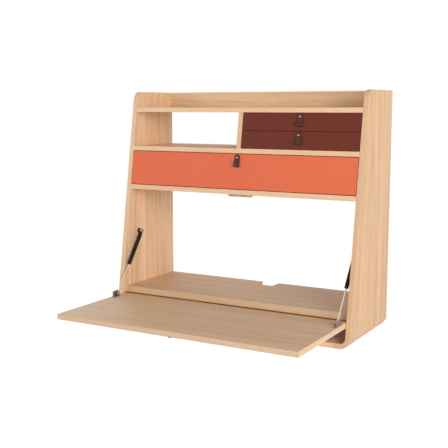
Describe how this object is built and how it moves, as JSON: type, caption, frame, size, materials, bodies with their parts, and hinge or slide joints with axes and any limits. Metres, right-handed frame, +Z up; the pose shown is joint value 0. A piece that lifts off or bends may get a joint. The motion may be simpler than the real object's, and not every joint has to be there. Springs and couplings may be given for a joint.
{
  "type": "fold down wall desk",
  "caption": "Wall-hung oak desk with a fold-down leaf on side stays, an open niche, a wide drawer and small drawers with leather pulls.",
  "frame": {"origin": "centre of the four wall screws, on the rear plane of the hanging rail, which lies against the wall", "axes": "+X to the right of a person who faces the desk, +Y into the wall, +Z up"},
  "size_m": [1, 0.7787, 0.9],
  "materials": {
    "oak_veneer": "light oak veneer, matt lacquer",
    "dowel_wood": "plain beech",
    "drawer_wood": "pale birch plywood, matt lacquer",
    "coral_lacquer": "coral satin lacquer on board",
    "burgundy_lacquer": "dark red satin lacquer on board",
    "leather": "dark brown, smooth",
    "rivet_brass": "polished",
    "hinge_steel": "nickel plated, satin",
    "bracket_steel": "dark grey, satin",
    "bright_steel": "bright plated",
    "tube_black": "black satin paint",
    "zinc_steel": "zinc plated",
    "catch_plastic": "light brown, matt",
    "strike_bronze": "bronze plated, satin"
  },
  "bodies": {
    "carcase": {"right_side_panel": "oak_veneer", "left_side_panel": "oak_veneer", "bottom_panel": "oak_veneer", "top_shelf": "oak_veneer", "mid_shelf": "oak_veneer", "lower_shelf": "oak_veneer", "divider": "oak_veneer", "top_rail": "oak_veneer", "hanging_rail": "oak_veneer", "fixed_desktop": "oak_veneer", "hinge_rail": "oak_veneer", "carcase_dowels": "dowel_wood", "catch_block": "oak_veneer", "magnet_catch": "catch_plastic", "hinge_rail_flap": "hinge_steel", "hinge_rail_flap_screws": "hinge_steel", "hinge_pin": "hinge_steel", "right_stay_bracket": "bracket_steel", "left_stay_bracket": "bracket_steel", "wide_drawer_rails": "zinc_steel", "small_drawer_rails": "zinc_steel"},
    "leaf": {"leaf": "oak_veneer", "leaf_pull": "leather", "leaf_pull_rivet": "rivet_brass", "strike_plate": "strike_bronze", "hinge_leaf_flap": "hinge_steel", "hinge_leaf_flap_screws": "hinge_steel", "right_leaf_bracket": "zinc_steel", "left_leaf_bracket": "zinc_steel", "leaf_bracket_screws": "zinc_steel", "stay_lower_studs": "bright_steel"},
    "right_rod": {"right_stay_rod": "bright_steel"},
    "right_tube": {"right_stay_tube": "tube_black", "right_stay_upper_stud": "bright_steel"},
    "left_rod": {"left_stay_rod": "bright_steel"},
    "left_tube": {"left_stay_tube": "tube_black", "left_stay_upper_stud": "bright_steel"},
    "wide_drawer": {"wide_drawer_front": "coral_lacquer", "wide_drawer_back": "drawer_wood", "wide_drawer_floor": "drawer_wood", "wide_drawer_slides": "zinc_steel", "wide_drawer_pull": "leather", "wide_drawer_pull_rivet": "rivet_brass", "wide_drawer_right_side": "drawer_wood", "wide_drawer_left_side": "drawer_wood"},
    "lower_small_drawer": {"lower_small_drawer_front": "burgundy_lacquer", "lower_small_drawer_back": "drawer_wood", "lower_small_drawer_floor": "drawer_wood", "lower_small_drawer_slides": "zinc_steel", "lower_small_drawer_pull": "leather", "lower_small_drawer_pull_rivet": "rivet_brass", "lower_small_drawer_sides": "drawer_wood"},
    "upper_small_drawer": {"upper_small_drawer_front": "burgundy_lacquer", "upper_small_drawer_back": "drawer_wood", "upper_small_drawer_floor": "drawer_wood", "upper_small_drawer_slides": "zinc_steel", "upper_small_drawer_pull": "leather", "upper_small_drawer_pull_rivet": "rivet_brass", "upper_small_drawer_sides": "drawer_wood"}
  },
  "joints": [
    {"name": "leaf_fold", "type": "hinge", "parent": "carcase", "child": "leaf", "pos_m": [0, -0.3602, -0.522], "axis": [-1, 0, 0], "range_deg": [0, 99]},
    {"name": "right_stay_swing", "type": "hinge", "parent": "leaf", "child": "right_rod", "pos_m": [0.4675, -0.4302, -0.515], "axis": [1, 0, 0], "range_deg": [0, 109.5]},
    {"name": "right_stay_slide", "type": "slide", "parent": "right_rod", "child": "right_tube", "axis": [0, -0.5925, -0.8056], "range_m": [0, 0.0981]},
    {"name": "left_stay_swing", "type": "hinge", "parent": "leaf", "child": "left_rod", "pos_m": [-0.4675, -0.4302, -0.515], "axis": [1, 0, 0], "range_deg": [0, 109.5]},
    {"name": "left_stay_slide", "type": "slide", "parent": "left_rod", "child": "left_tube", "axis": [0, -0.5925, -0.8056], "range_m": [0, 0.0981]},
    {"name": "wide_drawer_slide", "type": "slide", "parent": "carcase", "child": "wide_drawer", "axis": [0, -1, 0], "range_m": [0, 0.15]},
    {"name": "lower_small_drawer_slide", "type": "slide", "parent": "carcase", "child": "lower_small_drawer", "axis": [0, -1, 0], "range_m": [0, 0.15]},
    {"name": "upper_small_drawer_slide", "type": "slide", "parent": "carcase", "child": "upper_small_drawer", "axis": [0, -1, 0], "range_m": [0, 0.15]}
  ],
  "couplings": [
    {"joint": "right_stay_swing", "follows": "leaf_fold", "ratio": 1.1057},
    {"joint": "right_stay_slide", "follows": "leaf_fold", "m_per_rad": 0.056754},
    {"joint": "left_stay_swing", "follows": "leaf_fold", "ratio": 1.1057},
    {"joint": "left_stay_slide", "follows": "leaf_fold", "m_per_rad": 0.056754}
  ]
}
